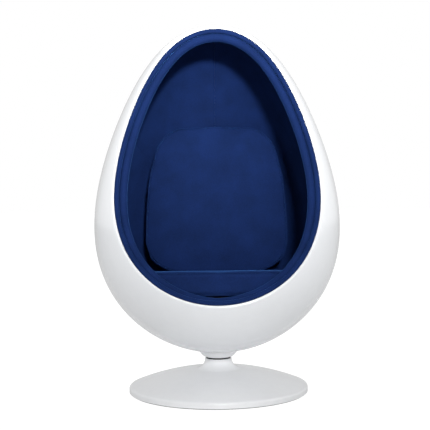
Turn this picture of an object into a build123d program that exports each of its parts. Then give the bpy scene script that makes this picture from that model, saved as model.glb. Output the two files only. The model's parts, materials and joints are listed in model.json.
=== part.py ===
"""Pod chair: a velvet-lined egg shell that turns on a trumpet base.

Millimetres, +Z up, origin on the floor under the middle of the base.
The sitter faces -Y. The egg's own axis leans back by EGG_TILT, and the mouth of
the shell is one flat cut that leans back by MOUTH_TILT.
"""

import os
from math import acos, atan2, cos, hypot, pi, radians, sin, sqrt

from build123d import *

# ---------------------------------------------------------------- driving dimensions

# Egg shell, outside surface. The radius along its axis is
# EGG_R * sqrt(1 - u^2) * (1 + a*u + b*u^2 + c*u^3), with u from -1 (foot) to +1 (crown).
EGG_R = 415.0
EGG_HALF = 581.0
EGG_SKEW = (-0.261, 0.050, 0.110)
EGG_FOOT = (0.0, -111.0, 152.5)
EGG_TILT = 10.0
EGG_STATIONS = 15

MOUTH_TILT = 20.8
MOUTH_DISTANCE = 494.0

# Layers of the shell, measured inwards from the outside surface.
SHELL_WALL = 6.0
FOAM_FACE = 30.0
COVER_FACE = 33.0
LINED = COVER_FACE + 0.5

# Upholstered edge round the mouth.
PIPING_R = 7.5
PIPING_INSET = 8.3
PIPING_SINK = 2.5
PIPING_SEAT = 9.0
ROLL_R = 14.0
ROLL_INSET = 28.5
ROLL_INSET_LIP = 15.0
ROLL_SINK = 12.0
ROLL_SINK_LIP = 23.5
ROLL_FLAT = 10.0
ROLL_CLEAR = 4.4
RIM_SPANS = 6
SEAM_GAP = 0.5
FOAM_JOINTS = (330.0, 640.0)
BOWL_SEAM_POINT = (0.0, 184.0, 869.0)
BOWL_SEAM_FALL = 35.6

# Pad moulded in the foot of the shell, where the swivel is bolted on.
PAD_BOTTOM = 142.0
PAD_TOP = 164.0
PAD_R_OUT = 60.0
PAD_R_IN = 63.0
WELL_R = 70.0

# Base: the outside is a flat dome with a round fillet up to the neck.
BASE_R = 315.0
BASE_LIFT = 3.0
BASE_WALL = 4.0
BASE_EDGE_H = 22.5
BASE_EDGE_ROUND = 9.0
DOME_TOP = 84.5
NECK_R = 47.0
NECK_TOP = 117.0
NECK_FILLET = 36.0

PLATE_R = 308.0
PLATE_T = 5.0
PLATE_HOLE_R = 29.0
LEDGE_R = 282.0
LEDGE_T = 3.0
COVER_SCREW_R = 3.0
COVER_SCREW_CIRCLE = 290.0
COVER_SCREWS = 6
FLOOR_RING_IN = 298.0
FLOOR_RING_OUT = 309.0

# Swivel: a spindle that turns in two bushes and rests on a stack of thrust washers.
POST_R = 38.0
POST_BORE = 32.0
POST_TOP = 104.0
SPINDLE_R = 20.0
RUNNING = 0.06
BUSH_L = 20.0
THRUST_T = 4.0
THRUST_R = 36.0
SHOULDER_R = 34.0
SEAL_R = 42.3
SEAL_OVERLAP = 8.0
CLIP_Z = 8.5
CLIP_T = 1.8
CLIP_R = 24.0
CLIP_BITE = 2.0
CLIP_MOUTH = 8.0
SPINDLE_WASHER_R = 28.0
SPINDLE_WASHER_T = 2.5
HUB_BOTTOM = 121.5
HUB_BOTTOM_R = 45.0
HUB_TOP_R = 71.0
HUB_TOP = 149.0
HUB_BELLY = (61.5, 134.0)
HUB_WALL = 4.5
HUB_ROUND = 2.5
HUB_OVER = 12.0
COLLAR_R = 28.0
FLANGE_R = 54.0
FLANGE_T = 6.0
GUSSETS = 4
GUSSET_T = 5.0
GUSSET_REACH = 125.0
GUSSET_TOP = 72.0
GUSSET_TOE = 8.0

MOUNT_BOLTS = 4
MOUNT_BOLT_R = 5.0
MOUNT_CIRCLE = 42.0
MOUNT_WASHER_R = 11.0
MOUNT_WASHER_T = 2.0
BOLT_HEAD_R = 9.2
BOLT_HEAD_T = 6.5
BACKING_R = 60.0
BACKING_T = 5.0
FIT = 0.15

# Seat: a board wedged in the bowl, with a boxed cushion on it.
SEAT_FRONT = (0.0, -320.0, 446.0)
SEAT_FALL = 6.0
SEAT_T = 72.0
SEAT_CROWN = 5.0
SEAT_CORNER = 42.0
DECK_T = 12.0
DECK_SETBACK = 55.0

# Back cushion: a boxed, rounded trapezoid that leans with the egg.
BACK_FOOT = (0.0, 92.6, 407.1)
BACK_H = 533.0
BACK_HALF_FOOT = 258.0
BACK_HALF_TOP = 228.0
BACK_T = 92.0
BACK_CROWN = 15.0
BACK_CORNER_FOOT = 62.0
BACK_CORNER_TOP = 96.0
SIDE_BOW = 9.0
DRAWN_IN = 5.0
CUSHION_GAP = 1.0

# Hidden fittings: zip in the back cushion's cover, hook-and-loop strips on the board.
ZIP_LENGTH = 400.0
ZIP_W = 9.0
ZIP_T = 2.0
ZIP_HEIGHT = 70.0
STRIP_LENGTH = 260.0
STRIP_W = 50.0
STRIP_T = 2.0
STRIP_SPACING = 220.0

PARTS = {}


def keep(name, shape):
    """Store a finished piece under its name."""
    PARTS[name] = shape
    return shape


# ---------------------------------------------------------------- shared geometry

EGG_PLACE = Pos(*EGG_FOOT) * Rot(-EGG_TILT, 0, 0)
MOUTH_NORMAL = Vector(0, -cos(radians(MOUTH_TILT)), sin(radians(MOUTH_TILT)))


def mouth_plane(sink=0.0):
    """The plane of the mouth, moved into the shell by sink, facing the sitter's view."""
    return Plane(
        origin=MOUTH_NORMAL * (MOUTH_DISTANCE - sink),
        x_dir=(1, 0, 0),
        z_dir=MOUTH_NORMAL,
    )


def egg_point(angle, inset=0.0):
    """Profile point (radius, height) at an angle from 0 (foot) to pi (crown)."""
    a, b, c = EGG_SKEW
    u = -cos(angle)
    fullness = 1 + a * u + b * u**2 + c * u**3
    slope = a + 2 * b * u + 3 * c * u**2
    d_radius = EGG_R * (cos(angle) * fullness + sin(angle) ** 2 * slope)
    d_height = EGG_HALF * sin(angle)
    length = hypot(d_radius, d_height)
    radius = EGG_R * sin(angle) * fullness - inset * d_height / length
    return radius, EGG_HALF * (1 + u) + inset * d_radius / length


def half_egg(inset=0.0):
    """Right half of the solid egg, with its surface moved inwards by inset."""
    right = [egg_point(pi * i / EGG_STATIONS, inset) for i in range(1, EGG_STATIONS)]
    left = [(-x, y) for x, y in reversed(right)]
    foot, crown = (0.0, egg_point(0, inset)[1]), (0.0, egg_point(pi, inset)[1])
    outline = make_face(Spline(foot, *right, crown, *left, periodic=True))
    half_outline = split(outline, bisect_by=Plane.YZ, keep=Keep.TOP)
    front_to_back = Rot(0, 0, -90)
    return EGG_PLACE * front_to_back * revolve(Plane.XZ * half_outline, Axis.Z, 180)


def right_half(shape):
    """The sitter's left half of a shape, which is on the right in a front view."""
    return split(shape, bisect_by=Plane.YZ, keep=Keep.TOP)


def both_halves(half):
    """A right half joined to its mirror image."""
    return half + half.mirror(Plane.YZ)


def behind(shape, plane):
    """The part of a shape that lies behind a plane."""
    return split(shape, bisect_by=plane, keep=Keep.BOTTOM)


def layer(outer, inner, sink):
    """Right half of the egg's wall between two insets, cut off behind the mouth."""
    return behind(half_egg(outer) - half_egg(inner), mouth_plane(sink))


def halve(low, high, test):
    """Angle between low and high at which test changes sign."""
    for _ in range(40):
        middle = (low + high) / 2
        if (test(low) < 0) == (test(middle) < 0):
            low = middle
        else:
            high = middle
    return (low + high) / 2


def mouth_edge(points=14):
    """Right half of the shell's inner edge on the mouth plane, from the crown to the lip."""
    lean = radians(MOUTH_TILT - EGG_TILT)
    reach = MOUTH_DISTANCE - MOUTH_NORMAL.dot(Vector(*EGG_FOOT))

    def forward(height):
        return (height * sin(lean) - reach) / cos(lean)

    def inside(angle):
        radius, height = egg_point(angle, SHELL_WALL)
        return radius + forward(height)

    lip = halve(0.1, pi / 2, inside)
    crown = halve(pi / 2, pi - 0.1, inside)
    places = []
    for i in range(points + 1):
        angle = crown + (lip - crown) * (1 - cos(pi * i / points)) / 2
        radius, height = egg_point(angle, SHELL_WALL)
        ahead = forward(height)
        side = 0.0 if i in (0, points) else sqrt(radius**2 - ahead**2)
        places.append(EGG_PLACE * Pos(side, ahead, height))
    return Spline(*[place.position for place in places], tangents=[(1, 0, 0), (-1, 0, 0)])


def biarc(start, start_way, end, end_way):
    """Two arcs that join two points and keep the direction given at each."""
    chord = end - start
    ways = start_way + end_way
    square = 2 * (1 - start_way.dot(end_way))
    reach = chord.dot(ways)
    handle = chord.dot(chord) / (reach + sqrt(reach**2 + square * chord.dot(chord)))
    joint = (start + start_way * handle + end - end_way * handle) / 2
    first = Edge.make_tangent_arc(start, start_way, joint)
    second = Edge.make_tangent_arc(end, -end_way, joint)
    return [first, second]


def rim_half(inset, sink):
    """Right half of a ring of arcs round the mouth, from the crown to the lip.

    Both inset and sink are a pair: the value at the crown and the value at the lip.
    """
    edge = mouth_edge()
    up = mouth_plane().y_dir
    top, bottom = (edge @ 0).dot(up), (edge @ 1).dot(up)

    def at(share):
        inward = edge.tangent_at(share).cross(MOUTH_NORMAL).normalized()
        point = edge.position_at(share) + inward * (inset[0] + (inset[1] - inset[0]) * share**4)
        down = (top - point.dot(up)) / (top - bottom)
        return point - MOUTH_NORMAL * (sink[0] + (sink[1] - sink[0]) * down)

    def way(share):
        step = 0.01
        ahead, back = min(1.0, share + step), max(0.0, share - step)
        return (at(ahead) - at(back)).normalized()

    stops = [i / RIM_SPANS for i in range(RIM_SPANS + 1)]
    points = [at(stop) for stop in stops]
    ways = [Vector(1, 0, 0)] + [way(stop) for stop in stops[1:-1]] + [Vector(-1, 0, 0)]
    arcs = []
    for i in range(RIM_SPANS):
        arcs += biarc(points[i], ways[i], points[i + 1], ways[i + 1])
    return Wire(arcs)


def rim_plane(inset, sink, drop=0.0):
    """The plane that such a ring lies in, moved into the shell by drop."""
    half = rim_half(inset, sink)
    ends = [half.position_at(0), half.position_at(1)]
    crown, lip = sorted(ends, key=lambda end: -end.Z)
    across = Vector(1, 0, 0).cross((crown - lip).normalized())
    return Plane(origin=crown - across * drop, x_dir=(1, 0, 0), z_dir=across)


def rim_tube(radius, inset, sink):
    """Round cord all the way round the rim."""
    path = rim_half(inset, sink)
    start = Plane(origin=path.position_at(0), z_dir=path.tangent_at(0))
    return both_halves(sweep(start * Circle(radius), path=path))


def rim_face(inset, sink):
    """Flat face inside such a ring."""
    half = rim_half(inset, sink)
    return make_face(list(half.edges()) + list(half.mirror(Plane.YZ).edges()))


def ring_z(outer, inner, low, high):
    """Plain ring about the swivel axis between two heights."""
    body = Cylinder(outer, high - low) - Cylinder(inner, high - low)
    return Pos(0, 0, (low + high) / 2) * body


def disc(radius, low, high):
    """Plain disc about the swivel axis between two heights."""
    return Pos(0, 0, (low + high) / 2) * Cylinder(radius, high - low)


def around(count, radius, shape, start=0.0):
    """Copies of a shape on a circle about the swivel axis."""
    turns = [start + 360 * i / count for i in range(count)]
    return [Rot(0, 0, turn) * Pos(radius, 0, 0) * shape for turn in turns]


def group(solids):
    """Separate solids kept together in one piece."""
    return Compound(children=list(solids))


# ---------------------------------------------------------------- base


def dome_circle(drop=0.0):
    """Centre height and radius of the dome's arc, moved inwards by drop."""
    rise = DOME_TOP - BASE_EDGE_H
    radius = (BASE_R**2 + rise**2) / (2 * rise)
    return DOME_TOP - radius, radius - drop


def base_solid(wall=0.0):
    """Solid trumpet inside the base's skin, with its surface moved inwards by wall."""
    centre_z, dome_r = dome_circle(wall)
    neck_r = NECK_R - wall
    fillet_r = NECK_FILLET + wall
    fillet_x = neck_r + fillet_r
    fillet_z = centre_z + sqrt((dome_r + fillet_r) ** 2 - fillet_x**2)
    joint = atan2(fillet_z - centre_z, fillet_x)
    meet = (dome_r * cos(joint), centre_z + dome_r * sin(joint))
    halfway = pi + joint / 2
    bend = (fillet_x + fillet_r * cos(halfway), fillet_z + fillet_r * sin(halfway))
    edge_r = BASE_R - wall
    edge_z = centre_z + sqrt(dome_r**2 - edge_r**2)
    lean = (joint + atan2(edge_z - centre_z, edge_r)) / 2
    crest = (dome_r * cos(lean), centre_z + dome_r * sin(lean))
    profile = make_face(
        [
            Line((neck_r, NECK_TOP), (neck_r, fillet_z)),
            ThreePointArc((neck_r, fillet_z), bend, meet),
            ThreePointArc(meet, crest, (edge_r, edge_z)),
            Polyline((edge_r, edge_z), (edge_r, BASE_LIFT), (0, BASE_LIFT), (0, NECK_TOP)),
            Line((0, NECK_TOP), (neck_r, NECK_TOP)),
        ]
    )
    edge = profile.vertices().filter_by_position(Axis.X, edge_r - 1, edge_r + 1).sort_by(Axis.Y)[-1]
    return revolve(Plane.XZ * fillet(edge, BASE_EDGE_ROUND - wall), Axis.Z)


def base_cover():
    """Spun trumpet skin, open below, with a ledge inside its edge that rests on the plate."""
    skin = base_solid() - base_solid(BASE_WALL)
    ledge_z = BASE_LIFT + PLATE_T
    ledge = ring_z(BASE_R - BASE_WALL / 2, LEDGE_R, ledge_z, ledge_z + LEDGE_T)
    holes = around(COVER_SCREWS, COVER_SCREW_CIRCLE, disc(COVER_SCREW_R, ledge_z, ledge_z + LEDGE_T))
    return skin + (ledge - holes)


def cover_screw(radius, low, high):
    """Countersunk screw that points up, from its flat head to its tip."""
    head = Pos(0, 0, low + radius / 2) * Cone(2 * radius, radius, radius)
    return head + disc(radius, low + radius, high)


def base_plate():
    """Steel ballast disc that closes the base, with countersunk holes and a hole for the spindle."""
    low, high = BASE_LIFT, BASE_LIFT + PLATE_T
    plate = disc(PLATE_R, low, high) - disc(PLATE_HOLE_R, low, high)
    hole = cover_screw(COVER_SCREW_R, low, high)
    return plate - around(COVER_SCREWS, COVER_SCREW_CIRCLE, hole)


def cover_screws():
    """Screws that hold the plate to the skin's ledge."""
    low = BASE_LIFT
    screw = cover_screw(COVER_SCREW_R - 0.05, low + 0.1, low + PLATE_T + LEDGE_T + 3)
    return group(around(COVER_SCREWS, COVER_SCREW_CIRCLE, screw))


def post_gussets():
    """Upright triangles that brace the post on the plate."""
    low = BASE_LIFT + PLATE_T
    reach, toe = (GUSSET_REACH, low), (GUSSET_REACH, low + GUSSET_TOE)
    web = make_face(Polyline((POST_R, low), reach, toe, (POST_R, GUSSET_TOP), close=True))
    plate = extrude(Plane.XZ * web, amount=GUSSET_T / 2, both=True)
    return group([Rot(0, 0, 45 + 360 * i / GUSSETS) * plate for i in range(GUSSETS)])


def bush(low):
    """Flanged nylon bush in the post's bore."""
    return ring_z(POST_BORE, SPINDLE_R + RUNNING, low, low + BUSH_L)


def thrust_ring(place, outer, inner):
    """One ring of the thrust stack on the post, counted up from the lowest."""
    low = POST_TOP + place * THRUST_T
    return ring_z(outer, inner, low, low + THRUST_T)


def build_base():
    """Everything that stands still on the floor."""
    plate_top = BASE_LIFT + PLATE_T
    keep("base_cover", base_cover())
    keep("base_plate", base_plate())
    keep("cover_screws", cover_screws())
    keep("floor_ring", ring_z(FLOOR_RING_OUT, FLOOR_RING_IN, 0, BASE_LIFT))
    keep("post_tube", ring_z(POST_R, POST_BORE, plate_top, POST_TOP))
    keep("post_gussets", post_gussets())
    keep("lower_bush", bush(plate_top + 6))
    keep("upper_bush", bush(POST_TOP - BUSH_L))
    keep("lower_washer", thrust_ring(0, POST_R, SPINDLE_R + 0.6))
    keep("thrust_pad", thrust_ring(1, THRUST_R, SPINDLE_R + 0.3))
    keep("swivel_seal", ring_z(SEAL_R, POST_R, POST_TOP - SEAL_OVERLAP, HUB_BOTTOM - 0.3))


# ---------------------------------------------------------------- swivel, on the pod's side


def spindle():
    """Turned shaft with a shoulder under the hub, a collar through it and a tapped flange."""
    shoulder_low = POST_TOP + 3 * THRUST_T
    flange_low = PAD_BOTTOM - FLANGE_T
    shaft = disc(SPINDLE_R, 5.5, shoulder_low)
    groove = ring_z(SPINDLE_R, SPINDLE_R - CLIP_BITE, CLIP_Z - CLIP_T / 2 - 0.1, CLIP_Z + CLIP_T / 2 + 0.1)
    shoulder = disc(SHOULDER_R, shoulder_low, HUB_BOTTOM)
    collar = disc(COLLAR_R, HUB_BOTTOM, flange_low)
    flange = disc(FLANGE_R, flange_low, PAD_BOTTOM)
    tapped = around(MOUNT_BOLTS, MOUNT_CIRCLE, disc(MOUNT_BOLT_R, flange_low, PAD_BOTTOM), 45)
    return shaft - groove + shoulder + collar + (flange - tapped)


def hub_outline():
    """Half outline of the hub's bowl, from its foot up to the shell."""
    low = (HUB_BOTTOM_R, HUB_BOTTOM)
    high = (HUB_TOP_R, HUB_TOP)
    return ThreePointArc(low, HUB_BELLY, high)


def hub_cup():
    """Lacquered bowl that hides the flange and meets the shell all round."""
    over = HUB_TOP + HUB_OVER
    side = hub_outline()
    profile = make_face(
        [
            side,
            Polyline((HUB_TOP_R, HUB_TOP), (HUB_TOP_R + 2, over), (0, over), (0, HUB_BOTTOM)),
            Line((0, HUB_BOTTOM), (HUB_BOTTOM_R, HUB_BOTTOM)),
        ]
    )
    bowl = revolve(Plane.XZ * profile, Axis.Z)
    bowl = fillet(bowl.edges().filter_by(GeomType.CIRCLE).sort_by(Axis.Z)[0], HUB_ROUND)
    hollow = disc(FLANGE_R + 1.5, HUB_BOTTOM + HUB_WALL + 7, over) + disc(
        COLLAR_R + 8, HUB_BOTTOM + HUB_WALL, over
    )
    bore = disc(COLLAR_R + 0.2, HUB_BOTTOM, over)
    half = right_half(bowl - hollow - bore - disc(PAD_R_OUT + 0.2, PAD_BOTTOM, over))
    return both_halves(half - half_egg())


def mount_bolts():
    """Hexagon bolts from inside the shell down into the flange."""
    top = PAD_TOP + BACKING_T + MOUNT_WASHER_T
    head = Pos(0, 0, top) * extrude(RegularPolygon(BOLT_HEAD_R, 6), amount=BOLT_HEAD_T)
    shank = disc(MOUNT_BOLT_R - FIT, PAD_BOTTOM - FLANGE_T + 0.5, top)
    return group(around(MOUNT_BOLTS, MOUNT_CIRCLE, head + shank, 45))


def through_holes(low, high):
    """Clearance holes for the mounting bolts."""
    return around(MOUNT_BOLTS, MOUNT_CIRCLE, disc(MOUNT_BOLT_R + 0.5, low, high), 45)


def outer_shell():
    """One-piece laminated egg with its mouth cut off and a flat pad moulded in its foot."""
    outside = half_egg() + right_half(disc(PAD_R_OUT, PAD_BOTTOM, PAD_TOP))
    inside = half_egg(SHELL_WALL) - disc(PAD_R_IN, PAD_BOTTOM, PAD_TOP)
    half = behind(outside - inside, mouth_plane())
    return both_halves(half - through_holes(PAD_BOTTOM - 1, PAD_TOP + 1))


def build_swivel():
    """The turning half of the swivel and what bolts it to the shell."""
    keep("spindle", spindle())
    keep("upper_washer", thrust_ring(2, THRUST_R, SPINDLE_R))
    clip_top = CLIP_Z + CLIP_T / 2
    washer_low = clip_top + 0.4
    washer_high = washer_low + SPINDLE_WASHER_T
    keep("spindle_washer", ring_z(SPINDLE_WASHER_R, SPINDLE_R, washer_low, washer_high))
    clip = ring_z(CLIP_R, SPINDLE_R - CLIP_BITE, CLIP_Z - CLIP_T / 2, clip_top)
    gap = Pos(CLIP_R, 0, CLIP_Z) * Box(CLIP_R - 4, CLIP_MOUTH, 2 * CLIP_T)
    keep("spindle_circlip", clip - gap)
    keep("hub_cup", hub_cup())
    holes = through_holes(PAD_TOP, PAD_TOP + BACKING_T)
    keep("backing_plate", disc(BACKING_R, PAD_TOP, PAD_TOP + BACKING_T) - holes)
    low = PAD_TOP + BACKING_T
    washer = ring_z(MOUNT_WASHER_R, MOUNT_BOLT_R + 0.4, low, low + MOUNT_WASHER_T)
    keep("mount_washers", group(around(MOUNT_BOLTS, MOUNT_CIRCLE, washer, 45)))
    keep("mount_bolts", mount_bolts())


# ---------------------------------------------------------------- lining and edge


def foam_sheets(half):
    """The right half of the foam as the sheets that it is glued in from, butted together."""
    joints = [Plane(EGG_PLACE * Pos(0, 0, height) * Plane.XY.location) for height in FOAM_JOINTS]
    joints.append(Plane(EGG_PLACE * Plane.XZ.location))
    sheets = [split(half, bisect_by=Plane.YZ.offset(SEAM_GAP / 2), keep=Keep.TOP)]
    for joint in joints:
        above, below = joint.offset(SEAM_GAP / 2), joint.offset(-SEAM_GAP / 2)
        tops = [split(sheet, bisect_by=above, keep=Keep.TOP) for sheet in sheets]
        bottoms = [split(sheet, bisect_by=below, keep=Keep.BOTTOM) for sheet in sheets]
        sheets = [solid for cut in tops + bottoms if cut for solid in cut.solids()]
    return sheets


def build_lining():
    """Foam bonded to the shell, three cover panels, and the piping and roll at the mouth."""
    inset, sink = (ROLL_INSET, ROLL_INSET_LIP), (ROLL_SINK, ROLL_SINK_LIP)
    seat = rim_plane(inset, sink, ROLL_FLAT)
    keep("rim_roll", split(rim_tube(ROLL_R, inset, sink), bisect_by=seat, keep=Keep.TOP))
    piping = rim_tube(PIPING_R, [PIPING_INSET] * 2, [PIPING_SINK] * 2)
    keep("rim_piping", split(piping, bisect_by=mouth_plane(PIPING_SEAT), keep=Keep.TOP))

    outside = [value - ROLL_R - ROLL_CLEAR for value in inset]
    floor = rim_face(outside, [value + ROLL_FLAT for value in sink])
    pocket = extrude(floor, amount=60, dir=MOUTH_NORMAL)
    well = disc(WELL_R, PAD_BOTTOM, PAD_TOP + FOAM_FACE)
    foam = foam_sheets(layer(SHELL_WALL, FOAM_FACE, PIPING_SEAT) - pocket - well)
    keep("foam_lining", group(foam + [sheet.mirror(Plane.YZ) for sheet in foam]))

    cover = layer(FOAM_FACE, COVER_FACE, ROLL_SINK) - pocket
    slope = Vector(0, 0, 1).rotate(Axis.X, -BOWL_SEAM_FALL)
    seam = Plane(origin=BOWL_SEAM_POINT, x_dir=(1, 0, 0), z_dir=slope)
    back = split(cover, bisect_by=seam.offset(SEAM_GAP / 2), keep=Keep.TOP)
    bowl = split(cover, bisect_by=seam.offset(-SEAM_GAP / 2), keep=Keep.BOTTOM)
    keep("liner_bowl", both_halves(bowl - well))
    right = keep("liner_right", split(back, bisect_by=Plane.YZ.offset(SEAM_GAP / 2), keep=Keep.TOP))
    keep("liner_left", right.mirror(Plane.YZ))


# ---------------------------------------------------------------- seat


SEAT_PLACE = Pos(*SEAT_FRONT) * Rot(-SEAT_FALL, 0, 0)
BACK_PLACE = Pos(*BACK_FOOT) * Rot(90 - EGG_TILT, 0, 0)


def bowl_circle(height):
    """Middle and radius of the lined bowl at a height of the seat's own frame."""
    lean = radians(EGG_TILT)
    fall = radians(SEAT_FALL)
    to_front = Vector(*SEAT_FRONT) - Vector(*EGG_FOOT)
    rise = Vector(0, sin(fall), cos(fall))
    axis = Vector(0, sin(lean), cos(lean))
    along = (height + rise.dot(to_front)) / rise.dot(axis)
    middle = (axis * along - to_front).dot(Vector(0, cos(fall), -sin(fall)))
    angle = acos(1 - along / EGG_HALF)
    return middle, egg_point(angle, LINED)[0]


def seat_outline(height, inset, front=0.0):
    """Plan of the seat at a height: straight front, two round corners, round back."""
    middle, radius = bowl_circle(height)
    radius -= inset
    corner = SEAT_CORNER
    low = front + inset
    corner_y = low + corner
    corner_x = sqrt((radius - corner) ** 2 - (corner_y - middle) ** 2)
    turn = atan2(corner_y - middle, corner_x)
    bend = (turn - pi / 2) / 2

    def on_corner(angle):
        return corner_x + corner * cos(angle), corner_y + corner * sin(angle)

    def on_back(angle):
        return radius * cos(angle), middle + radius * sin(angle)

    half = [
        (on_corner(-pi / 2), on_corner(bend), on_corner(turn)),
        (on_corner(turn), on_back((turn + pi / 2) / 2), on_back(pi / 2)),
    ]
    flip = [[(-x, y) for x, y in reversed(points)] for points in reversed(half)]
    arcs = [ThreePointArc(*points) for points in half + flip]
    left, right = flip[-1][-1], half[0][0]
    return Plane.XY.offset(height) * make_face([Line(left, right)] + arcs)


def back_outline(height, inset):
    """Front view of the back cushion: bowed sides, crowned top, four round corners."""
    foot, top = BACK_HALF_FOOT - inset, BACK_HALF_TOP - inset
    low, high = inset, BACK_H - inset
    middle = ((foot + top) / 2 + SIDE_BOW, (low + high) / 2)
    face = make_face(
        [
            Line((-foot, low), (foot, low)),
            ThreePointArc((foot, low), middle, (top, high)),
            ThreePointArc((top, high), (0, high + SIDE_BOW), (-top, high)),
            ThreePointArc((-top, high), (-middle[0], middle[1]), (-foot, low)),
        ]
    )
    corners = face.vertices().sort_by(Axis.Y)
    face = fillet(corners[:2], BACK_CORNER_FOOT)
    corners = face.vertices().sort_by(Axis.Y)
    face = fillet(corners[-2:], BACK_CORNER_TOP)
    return Plane.XY.offset(height) * face


def boxed_cushion(outline, thick, crown, foot_crown=0.0):
    """Cushion of a drawn-in border between two seams, with a crowned panel on top."""
    border = loft([outline(-thick, 0.0), outline(-thick / 2, DRAWN_IN), outline(0.0, 0.0)])
    cushion = border + loft([outline(0.0, 0.5), outline(0.6 * crown, 32.0), outline(crown, 110.0)])
    if foot_crown:
        under = [outline(-thick, 0.5), outline(-thick - 0.6 * foot_crown, 32.0)]
        cushion += loft(under + [outline(-thick - foot_crown, 110.0)])
    return cushion


def wedged(shape):
    """A piece cut to the lined inside of the egg, which it is pushed against."""
    return both_halves(right_half(shape) & half_egg(LINED))


def hook_strips():
    """Two hook-and-loop strips on the board that hold the seat cushion."""
    low = -SEAT_T - STRIP_T
    middle, _ = bowl_circle(low)
    strip = Pos(0, middle, low + STRIP_T / 2) * Box(STRIP_W, STRIP_LENGTH, STRIP_T)
    return group([SEAT_PLACE * Pos(side * STRIP_SPACING / 2, 0, 0) * strip for side in (-1, 1)])


def back_zip():
    """Zip across the back of the back cushion, near its foot."""
    return BACK_PLACE * Pos(0, ZIP_HEIGHT, -BACK_T - ZIP_T / 2) * Box(ZIP_LENGTH, ZIP_W, ZIP_T)


def build_seat():
    """Board, boxed cushions and their hidden fittings."""
    keep("seat_cushion", wedged(SEAT_PLACE * boxed_cushion(seat_outline, SEAT_T, SEAT_CROWN)))
    deck = extrude(seat_outline(-SEAT_T - STRIP_T, 0.0, DECK_SETBACK), amount=-DECK_T)
    keep("seat_deck", wedged(SEAT_PLACE * deck))
    keep("hook_strips", hook_strips())

    seat_top = Plane(SEAT_PLACE * Pos(0, 0, SEAT_CROWN + CUSHION_GAP) * Plane.XY.location)
    back = BACK_PLACE * boxed_cushion(back_outline, BACK_T, BACK_CROWN)
    keep("back_cushion", wedged(split(back, bisect_by=seat_top, keep=Keep.TOP)))
    keep("back_zip", back_zip())


# ---------------------------------------------------------------- run

build_base()
build_swivel()
keep("outer_shell", outer_shell())
build_lining()
build_seat()

os.makedirs("parts", exist_ok=True)
for name, shape in PARTS.items():
    export_step(shape, f"parts/{name}.step")
    print(name, round(shape.volume), [round(v, 1) for v in shape.bounding_box().size])
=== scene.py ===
"""Pod chair, dressed: polished egg shell, velvet lining and cushions, lacquered trumpet base.

Metres, +Z up, the sitter faces -Y, and the swivel axis is the Z axis, as in the CAD frame.
"""
import json
import logging
import math
from contextlib import contextmanager
from dataclasses import dataclass
from enum import Enum
from typing import Any, Callable, Iterator, Sequence

import bpy
from mathutils import Matrix, Vector, kdtree


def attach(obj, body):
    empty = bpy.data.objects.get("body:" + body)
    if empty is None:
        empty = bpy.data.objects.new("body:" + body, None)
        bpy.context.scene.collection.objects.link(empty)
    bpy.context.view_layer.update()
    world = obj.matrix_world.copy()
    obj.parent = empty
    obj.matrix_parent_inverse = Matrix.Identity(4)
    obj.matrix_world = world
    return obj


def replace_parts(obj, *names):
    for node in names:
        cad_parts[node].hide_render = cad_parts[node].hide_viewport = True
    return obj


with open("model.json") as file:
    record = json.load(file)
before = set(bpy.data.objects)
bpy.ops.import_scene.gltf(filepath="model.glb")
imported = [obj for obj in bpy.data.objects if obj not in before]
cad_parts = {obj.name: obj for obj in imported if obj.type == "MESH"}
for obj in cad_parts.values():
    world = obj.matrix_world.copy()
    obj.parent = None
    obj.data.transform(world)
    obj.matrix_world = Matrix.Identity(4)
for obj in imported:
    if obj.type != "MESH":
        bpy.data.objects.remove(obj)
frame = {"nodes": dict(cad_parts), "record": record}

log = logging.getLogger("pod_chair")
MM = 0.001
NODES: dict[str, Any] = frame["nodes"]
Piece = bpy.types.Object
Test = Callable[[Vector], bool]
Flat = tuple[float, float]
Plane = tuple[Vector, Vector]
# Angles in degrees over which an edge stays crisp, for spun metal, sewn cloth and a padded cover.
SPUN, SEWN, PADDED = 30.0, 60.0, 80.0


# -------- the bench


def activate(piece: Piece) -> None:
    """Leaves only this piece selected, and makes it the active one.

    Args:
        piece: The object to work on.
    """
    bpy.ops.object.select_all(action="DESELECT")
    piece.select_set(True)
    bpy.context.view_layer.objects.active = piece


@contextmanager
def editing(piece: Piece, mode: str = "VERT") -> Iterator[Any]:
    """Edit mode on one piece.

    Args:
        piece: The object to edit.
        mode: VERT, EDGE or FACE, for what the operators select.

    Returns:
        The mesh of the piece, for as long as edit mode lasts.
    """
    activate(piece)
    bpy.ops.object.mode_set(mode="EDIT")
    bpy.ops.mesh.select_mode(type=mode)
    try:
        yield piece.data
    finally:
        bpy.ops.object.mode_set(mode="OBJECT")


def pick_points(piece: Piece, test: Test) -> None:
    """Selects in code, in object mode, the points of a piece that pass a test, and no others.

    Args:
        piece: The object to select in.
        test: What a point has to pass.
    """
    mesh = piece.data
    for part in (mesh.polygons, mesh.edges):
        part.foreach_set("select", [False] * len(part))
    mesh.vertices.foreach_set("select", [test(point.co) for point in mesh.vertices])
    mesh.update()


def clean(piece: Piece, gap: float = 0.01 * MM) -> Piece:
    """Merges doubled points and turns every face outwards.

    Args:
        piece: The object to clean.
        gap: How near two points lie that are merged.

    Returns:
        The same object.
    """
    with editing(piece):
        bpy.ops.mesh.select_all(action="SELECT")
        bpy.ops.mesh.remove_doubles(threshold=gap)
        bpy.ops.mesh.normals_make_consistent(inside=False)
    return piece


def modify(piece: Piece, kind: str, **settings: Any) -> Piece:
    """Adds a modifier with its settings and applies it.

    Args:
        piece: The object to change.
        kind: The modifier's type, such as SOLIDIFY.
        settings: The modifier's own properties.

    Returns:
        The same object.
    """
    activate(piece)
    modifier = piece.modifiers.new(kind.title(), kind)
    for key, value in settings.items():
        setattr(modifier, key, value)
    bpy.ops.object.modifier_apply(modifier=modifier.name)
    return piece


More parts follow.
